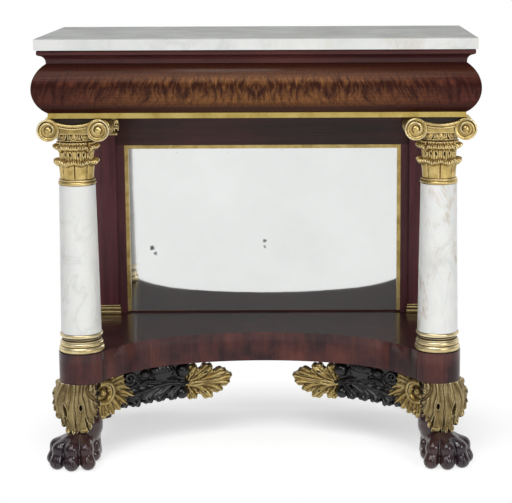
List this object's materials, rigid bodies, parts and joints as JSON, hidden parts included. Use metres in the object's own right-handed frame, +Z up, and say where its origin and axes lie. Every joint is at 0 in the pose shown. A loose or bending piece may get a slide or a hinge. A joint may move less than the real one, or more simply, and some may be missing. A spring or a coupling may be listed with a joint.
{
  "type": "pier table",
  "caption": "Pier table: loose marble slab on a half-round frieze, carried by front columns and rear pilasters around a mirror, on a concave platform with paw feet.",
  "frame": {"origin": "on the floor, at the middle of the overall box", "axes": "+Z up, +X to the viewer's right along the front, +Y towards the wall behind the table"},
  "size_m": [1.016, 0.518, 1],
  "materials": {
    "slab_marble": "honed, grey veined",
    "column_marble": "polished, veined",
    "mahogany": "polished",
    "flame_mahogany": "polished veneer",
    "pine": "raw, aged",
    "gilding": "gilded, worn",
    "dark_paw": "gloss",
    "verdigris": "dark paint, gloss",
    "mirror_glass": "old silvering",
    "iron": "aged"
  },
  "bodies": {
    "carcase": {"apron_front": "mahogany", "apron_left": "mahogany", "apron_right": "mahogany", "backboard_screws": "iron", "backboards": "pine", "bracket_fruit_left": "verdigris", "bracket_fruit_right": "verdigris", "bracket_leaf_left": "gilding", "bracket_leaf_right": "gilding", "bracket_screws": "iron", "bracket_scroll_left": "gilding", "bracket_scroll_right": "gilding", "capital_left": "gilding", "capital_right": "gilding", "column_base_left": "gilding", "column_base_right": "gilding", "column_dowels": "pine", "column_shaft_left": "column_marble", "column_shaft_right": "column_marble", "cornice_front": "mahogany", "cornice_left": "mahogany", "cornice_right": "mahogany", "foot_dowels": "pine", "frieze_back_rail": "pine", "frieze_front": "flame_mahogany", "frieze_glue_blocks": "pine", "frieze_left": "flame_mahogany", "frieze_right": "flame_mahogany", "gilt_band_front": "gilding", "gilt_band_left": "gilding", "gilt_band_right": "gilding", "knee_left": "gilding", "knee_right": "gilding", "medial_brace": "pine", "mirror_plate": "mirror_glass", "mirror_rail": "mahogany", "mirror_sill": "mahogany", "mirror_slip_left": "gilding", "mirror_slip_right": "gilding", "mirror_slip_top": "gilding", "mirror_stile_left": "mahogany", "mirror_stile_right": "mahogany", "pad_blocks": "mahogany", "paw_left": "dark_paw", "paw_right": "dark_paw", "pilaster_base_left": "gilding", "pilaster_base_right": "gilding", "pilaster_capital_left": "gilding", "pilaster_capital_right": "gilding", "pilaster_left": "mahogany", "pilaster_right": "mahogany", "platform_back_rail": "pine", "platform_blocks": "pine", "rear_foot_left": "dark_paw", "rear_foot_right": "dark_paw", "shelf_board": "mahogany", "soffit_board": "pine", "volute_block_left": "gilding", "volute_block_right": "gilding"},
    "top": {"marble_top": "slab_marble"}
  },
  "joints": [
    {"name": "top_lift", "type": "slide", "parent": "carcase", "child": "top", "axis": [0, 0, 1], "range_m": [0, 0.1]}
  ]
}
